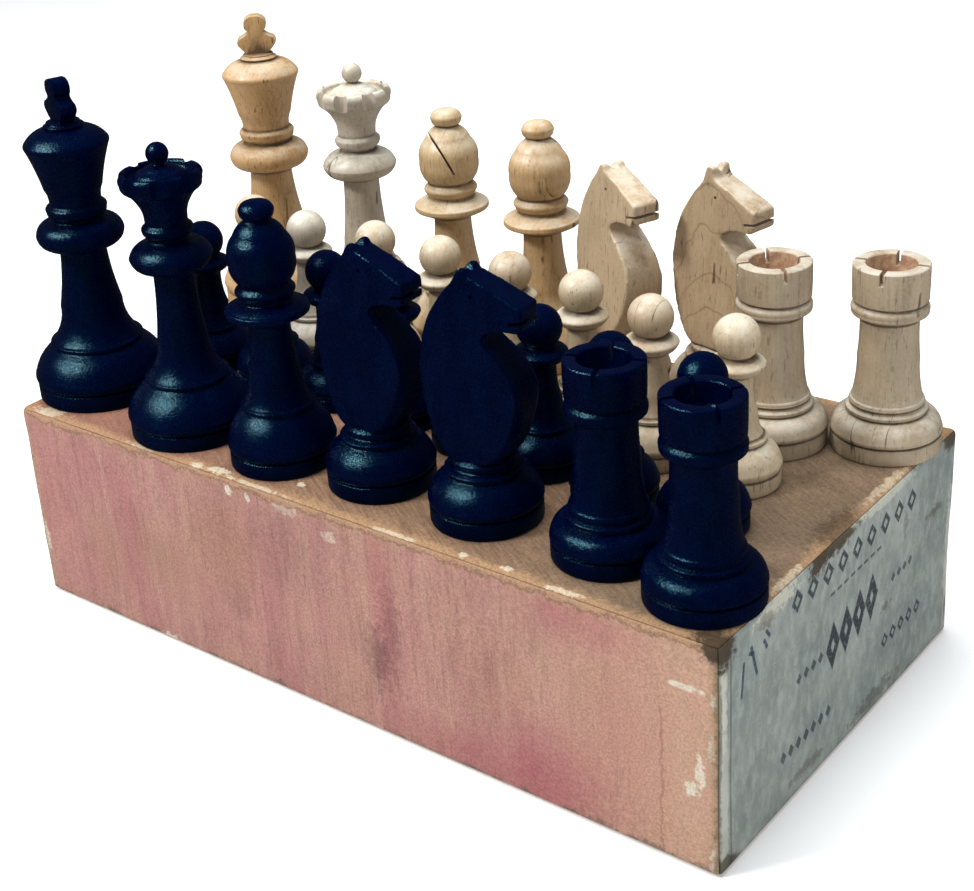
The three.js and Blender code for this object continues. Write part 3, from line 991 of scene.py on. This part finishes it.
def make_bishop(slit):
    """slit says whether the mitre has its saw cut, as one bishop has."""
    bishop = turn_on_lathe("bishop", [
        *foot(13.7, 4.4, 7.3, 16.1, 9.5, 0.75),
        (7.0, 23.0, -0.5), (5.3, 37.2, -0.35), (6.6, 39.2, -0.4),
        (9.9, 40.4, 0.2), (10.6, 41.5, 0.35), (9.9, 42.4, 0.3), (7.4, 43.6, 0.2), (6.4, 44.0),
        (6.4, 44.9), (7.2, 45.8, 0.2), (7.2, 47.4, 0.4),
        (6.4, 48.2), (6.5, 48.8), (8.4, 55.0, 0.75), (6.6, 61.0, 0.75), (3.4, 64.6, 0.45),
        (3.1, 65.0),
        (4.3, 66.5, 0.3), (4.1, 68.1, 0.25), (2.6, 69.3, 0.25), (0.3, 69.7, 0.1),
    ])
    if slit:
        cut = block("saw_kerf", (24, 24, 0.6), (5.6, 0, 63.3), (0, -1.13, 0))
        combine(bishop, cut, "DIFFERENCE")
    ease(bishop, 0.2)
    mark_hollows(
        bishop,
        [(4.4, 0.6), (15.4, 0.7), (17.1, 0.8), (38.8, 1.4), (44.4, 1.0), (48.6, 0.9), (65.0, 0.8)],
    )
    smooth(bishop)
    return bishop


def make_rook():
    rook = turn_on_lathe("rook", [
        *foot(13.5, 4.4, 6.0, 10.7, 9.9, 1.0),
        (8.9, 12.2), (9.1, 12.8, 0.2), (8.6, 13.6, 0.15), (7.5, 24.0, -0.35), (7.1, 33.6, -0.15),
        (7.3, 34.4), (8.7, 35.4, -0.15),
        (9.2, 36.4, 0.3), (8.9, 38.0, 0.3), (8.4, 38.4), (8.5, 38.9), (9.1, 39.4, 0.2), (9.2, 43.0),
        (9.2, 47.8), (8.9, 48.1),
        (6.3, 48.1), (6.0, 47.8), (5.6, 43.4), (4.2, 42.2, -0.3), (0.4, 41.8),
    ])
    for angle in (0, math.pi / 2):
        kerf = block("saw_kerf", (24, 1.1, 6.2), (0, 0, 48.2), (0, 0, angle))
        combine(rook, kerf, "DIFFERENCE")
    ease(rook, 0.18)
    mark_hollows(rook, [(4.4, 0.6), (10.0, 0.6), (12.2, 0.7), (34.4, 0.9), (38.6, 0.8)])
    mark_cup(rook, 6.2, 41)
    smooth(rook)
    return rook


def make_pawn():
    pawn = turn_on_lathe("pawn", [
        *foot(10.6, 4.0, 6.6, 12.1, 7.3, 0.65),
        (5.0, 18.6, -0.45), (3.8, 26.6, -0.35), (4.6, 28.8, -0.3),
        (6.6, 30.4, 0.35), (6.6, 31.6, 0.3), (4.2, 32.8, 0.2), (3.8, 33.0),
        *ball(5.7, 37.5, -50, 76), (0.3, 43.1),
    ])
    ease(pawn, 0.2)
    mark_hollows(pawn, [(4.0, 0.6), (11.4, 0.6), (13.0, 0.7), (28.8, 1.2), (33.1, 1.0)])
    smooth(pawn)
    return pawn


KNIGHT_WEDGE = 0.082


def make_knight(ear):
    """A round blank cut to a horse's outline and sawn to a wedge. ear is its ears' height."""
    body = saw_out("knight_outline", run([
        (-6.4, 16.4), (-9.4, 22.4, -0.3), (-12.6, 33.0, -0.6), (-12.7, 43.6, -0.7),
        (-9.2, 53.0, -0.6), (-4.2, 59.2, -0.2),
        (-2.9, 61.4, 0.1), (-2.2, ear - 0.8), (-1.0, ear, -0.3), (0.2, ear - 0.9, -0.3),
        (0.9, 61.6, 0.2), (13.2, 55.9),
        (14.2, 54.9, -0.2), (14.0, 51.4), (12.6, 49.8, -0.4), (9.0, 49.6, 0.1), (5.2, 48.8, 0.3),
        (3.8, 46.9, 0.4), (5.4, 44.8, 0.2),
        (11.4, 38.0, -0.5), (12.8, 31.0, -0.4), (11.2, 23.6, -0.3), (6.6, 16.4, -0.4),
    ], 5), 40)
    blank = turn_on_lathe("knight_blank", [
        (7.2, 16.0), (10.3, 20.6, 0.4), (12.6, 26.6, 0.3), (13.8, 35.0, 0.3), (14.4, 46.0),
        (14.6, 58.0), (9.0, 68.0),
    ], 48)
    combine(body, blank, "INTERSECT")
    for plane, lean in (((0, 3.6, 60), 0.0), ((-4.5, 3.6, 60), -0.15)):
        for side in (1, -1):
            only(body)
            edit()
            bpy.ops.mesh.bisect(
                plane_co=(plane[0] * MM, side * plane[1] * MM, plane[2] * MM),
                plane_no=(lean, side, KNIGHT_WEDGE),
                clear_outer=True, use_fill=True,
            )
            leave_edit()
        outwards(body)
    notch = block("ear_notch", (9, 2.6, 2.6), (-1, 0, ear + 0.1), (math.pi / 4, 0, 0))
    combine(body, notch, "DIFFERENCE")
    finish_with(body, "REMESH", mode="VOXEL", voxel_size=0.4 * MM)
    finish_with(body, "SMOOTH", factor=0.5, iterations=3)
    mouth = block("mouth", (5.4, 14, 0.8), (13.6, 0, 52.3), (0, -0.12, 0))
    combine(body, mouth, "DIFFERENCE")
    for side in (1, -1):
        bpy.ops.mesh.primitive_cylinder_add(
            vertices=14, radius=0.5 * MM, depth=2.4 * MM, location=(
                1.4 * MM, side * 4.4 * MM, 57 * MM,
            ), rotation=(math.pi / 2, 0, 0)
        )
        eye = bpy.context.object
        settle(eye)
        combine(body, eye, "DIFFERENCE")
    base = turn_on_lathe("knight_base", [
        *foot(13.6, 4.6, 7.0, 13.3, 9.5, 0.75),
        (7.6, 14.6, -0.2), (7.9, 15.2, 0.2), (7.7, 16.4, 0.3), (7.0, 17.0), (6.0, 17.4),
    ])
    ease(base, 0.2)
    only(body)
    base.select_set(True)
    bpy.ops.object.join()
    mark_hollows(body, [(4.6, 0.7), (12.9, 0.9), (14.6, 0.9), (16.9, 0.8)])
    smooth(body, 45)
    return body


# ---------------------------------------------------------------- the box

def bowed(x, y, z):
    """How far a wall of the old box stands off true, along X and Y, in millimetres."""
    wave = noise.noise(Vector((x / 60, y / 60, z / 45)))
    hand = noise.noise(Vector((x / 14, y / 14, z / 14)) + Vector((7, 3, 1)))
    sag = math.cos(math.pi * (z - LID_TOP / 2) / LID_TOP)
    return 0.35 * wave * sag + 0.09 * hand


def rows_near_edges(piece):
    """Extra rows of points close to the box's edges, for the edges to be rounded on."""
    only(piece)
    edit(False)
    for inset in EDGE_ROWS:
        for axis, far in (
            (0, HALF_LENGTH), (0, -HALF_LENGTH), (1, HALF_WIDTH), (1, -HALF_WIDTH), (2, LID_TOP),
        ):
            place, facing = [0, 0, 0], [0, 0, 0]
            place[axis] = (far - math.copysign(inset, far)) * MM
            facing[axis] = 1
            bpy.ops.mesh.select_all(action="SELECT")
            bpy.ops.mesh.bisect(plane_co=place, plane_no=facing)
    leave_edit()


def weather(piece):
    """Bows the walls and rounds the edges and corners off unevenly."""
    for vertex in piece.data.vertices:
        spot = [c / MM for c in vertex.co]
        in_from = [far - abs(c) for far, c in zip((HALF_LENGTH, HALF_WIDTH, LID_TOP), spot)]
        push = bowed(*spot)
        for axis in (0, 1):
            spot[axis] -= math.copysign(
                push * min(1.0, max(0.0, 1 - in_from[axis] / 5) / 0.55), spot[axis],
            )
        radius = EDGE_ROUND + 0.7 * noise.noise(
            Vector(spot) / 17
        ) + 0.3 * noise.noise(Vector(spot) / 5)
        limits = (HALF_LENGTH - radius, HALF_WIDTH - radius, LID_TOP - radius)
        over = [max(0.0, abs(c) - limit) for c, limit in zip(spot, limits)]
        reach = math.hypot(*over)
        if reach > 0:
            pull = max(over) / reach
            spot = [
                math.copysign(
                    min(abs(c), limit) + o * pull, c,
                ) for c, limit, o in zip(spot, limits, over)
            ]
        vertex.co = Vector(spot) * MM


def make_lid():
    """The lid's board: a tray turned over, its edges eased by years of handling."""
    low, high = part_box("lid")
    lid = block("lid_board", (high - low) / MM, (high + low) / 2 / MM)
    open_up(lid, (0, 0, -1))
    edit()
    bpy.ops.mesh.subdivide(number_cuts=WALL_CUTS)
    leave_edit()
    rows_near_edges(lid)
    finish_with(lid, "SOLIDIFY", thickness=LID_WALL * MM, offset=-1)
    weather(lid)
    smooth(lid, 50)
    return lid


def make_sheet(name, node):
    """A pasted sheet in its node's place, with soft edges, that follows the wall it lies on."""
    low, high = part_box(node)
    sheet = block(name, (high - low) / MM, (high + low) / 2 / MM)
    edit()
    bpy.ops.mesh.subdivide(number_cuts=WALL_CUTS)
    leave_edit()
    rows_near_edges(sheet)
    weather(sheet)
    smooth(sheet, 50)
    return sheet


def make_tray():
    low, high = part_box("tray")
    tray = block("tray_board", (high - low) / MM, (high + low) / 2 / MM)
    open_up(tray, (0, 0, 1))
    finish_with(
        tray, "BEVEL", width=0.6 * MM, segments=2, limit_method="ANGLE",
        angle_limit=math.radians(40),
    )
    finish_with(tray, "SOLIDIFY", thickness=TRAY_WALL * MM, offset=-1)
    smooth(tray, 50)
    return tray


# ---------------------------------------------------------------- setting the men down

def set_down(pattern, node, wood, turn=0.0, lying=False):
    """Copies a pattern to where its CAD node is and lets it stand for that node."""
    only(pattern)
    bpy.ops.object.duplicate(linked=False)
    man = bpy.context.object
    man.name = node + "_turned"
    low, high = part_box(node)
    if lying:
        man.rotation_euler = (0, math.pi / 2, 0)
        man.location = (low.x, (low.y + high.y) / 2, (low.z + high.z) / 2)
    else:
        man.rotation_euler = (0, 0, math.radians(turn))
        man.location = ((low.x + high.x) / 2, (low.y + high.y) / 2, low.z)
    settle(man)
    man.data.materials.clear()
    man.data.materials.append(wood)
    man.visible_glossy = node.startswith("black")
    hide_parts(node)
    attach(man, node)
    return man


def furnish(piece, node, body, material):
    piece.visible_glossy = False
    piece.data.materials.clear()
    piece.data.materials.append(material)
    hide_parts(node)
    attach(piece, body)


def build_box():
    kraft, pink, label, board = kraft_top(), pink_wrap(), grey_label(), grey_board()
    furnish(make_lid(), "lid", "lid", kraft)
    furnish(
        make_sheet("front_wrap", "side_paper_front"), "side_paper_front", "lid", pink,
    )
    furnish(
        make_sheet("back_wrap", "side_paper_back"), "side_paper_back", "lid", pink,
    )
    furnish(make_sheet("left_end_wrap", "end_paper"), "end_paper", "lid", pink)
    furnish(make_sheet("pasted_label", "end_label"), "end_label", "lid", label)
    furnish(make_tray(), "tray", "tray", board)


def build_men():
    lacquer = black_lacquer()
    king, queen, rook, pawn = make_king(), make_queen(), make_rook(), make_pawn()
    short_ears, long_ears = make_knight(63.0), make_knight(64.6)
    split_mitre, plain_mitre = make_bishop(True), make_bishop(False)
    honey = pale_wood(
        "honey_maple", (0.45, 0.265, 0.105), (0.2, 0.09, 0.028), 0.5, 0.12, 0.75, 0.35,
    )
    bone = pale_wood(
        "bleached_maple", (0.43, 0.365, 0.28), (0.22, 0.165, 0.11), 0.4, 0.06, 0.35, 0.75,
    )
    tan = pale_wood("tan_birch", (0.49, 0.335, 0.165), (0.26, 0.14, 0.058), 0.4, 0.1, 0.5, 0.5)
    amber = pale_wood(
        "amber_birch", (0.49, 0.315, 0.145), (0.25, 0.13, 0.05), 0.4, 0.16, 0.5, 0.45, 200.0,
    )
    rosy = pale_wood(
        "rosy_beech", (0.47, 0.345, 0.215), (0.3, 0.18, 0.095), 0.35, 0.08, 0.55, 0.5, 260.0,
    )
    arched = pale_wood(
        "arched_beech", (0.41, 0.29, 0.175), (0.2, 0.115, 0.055), 0.35, 0.5, 0.5, 0.5,
        arched_on="white_knight_2",
    )
    grey = pale_wood(
        "greyed_maple", (0.37, 0.285, 0.187), (0.22, 0.15, 0.085), 0.4, 0.08, 0.45, 0.5,
    )
    cream = pale_wood(
        "cream_maple", (0.49, 0.375, 0.235), (0.28, 0.18, 0.095), 0.35, 0.1, 0.65, 0.6,
    )
    blacks = [
        (king, "black_king", -16), (queen, "black_queen", 0), (plain_mitre, "black_bishop_1", 0),
        (short_ears, "black_knight_1", 3),
        (short_ears, "black_knight_2", 8), (rook, "black_rook_1", 20), (rook, "black_rook_2", 50),
    ]
    for pattern, node, turn in blacks:
        set_down(pattern, node, lacquer, turn)
    set_down(plain_mitre, "black_bishop_2", lacquer, lying=True)
    whites = [
        (king, "white_king", honey, 43), (queen, "white_queen", bone, 21),
        (split_mitre, "white_bishop_1", tan, 232),
        (plain_mitre, "white_bishop_2", amber, 60), (short_ears, "white_knight_1", rosy, -22),
        (long_ears, "white_knight_2", arched, -11),
        (rook, "white_rook_1", grey, 45), (rook, "white_rook_2", grey, 10),
    ]
    for pattern, node, wood, turn in whites:
        set_down(pattern, node, wood, turn)
    pawn_woods = [tan, bone, cream, cream, rosy, cream, rosy, cream]
    for i, wood in enumerate(pawn_woods, 1):
        set_down(pawn, f"black_pawn_{i}", lacquer, 40 * i)
        set_down(pawn, f"white_pawn_{i}", wood, 55 * i)
    for pattern in (king, queen, rook, pawn, short_ears, long_ears, split_mitre, plain_mitre):
        bpy.data.objects.remove(pattern)


stand_camera()
light_studio()
lay_floor()
build_box()
build_men()
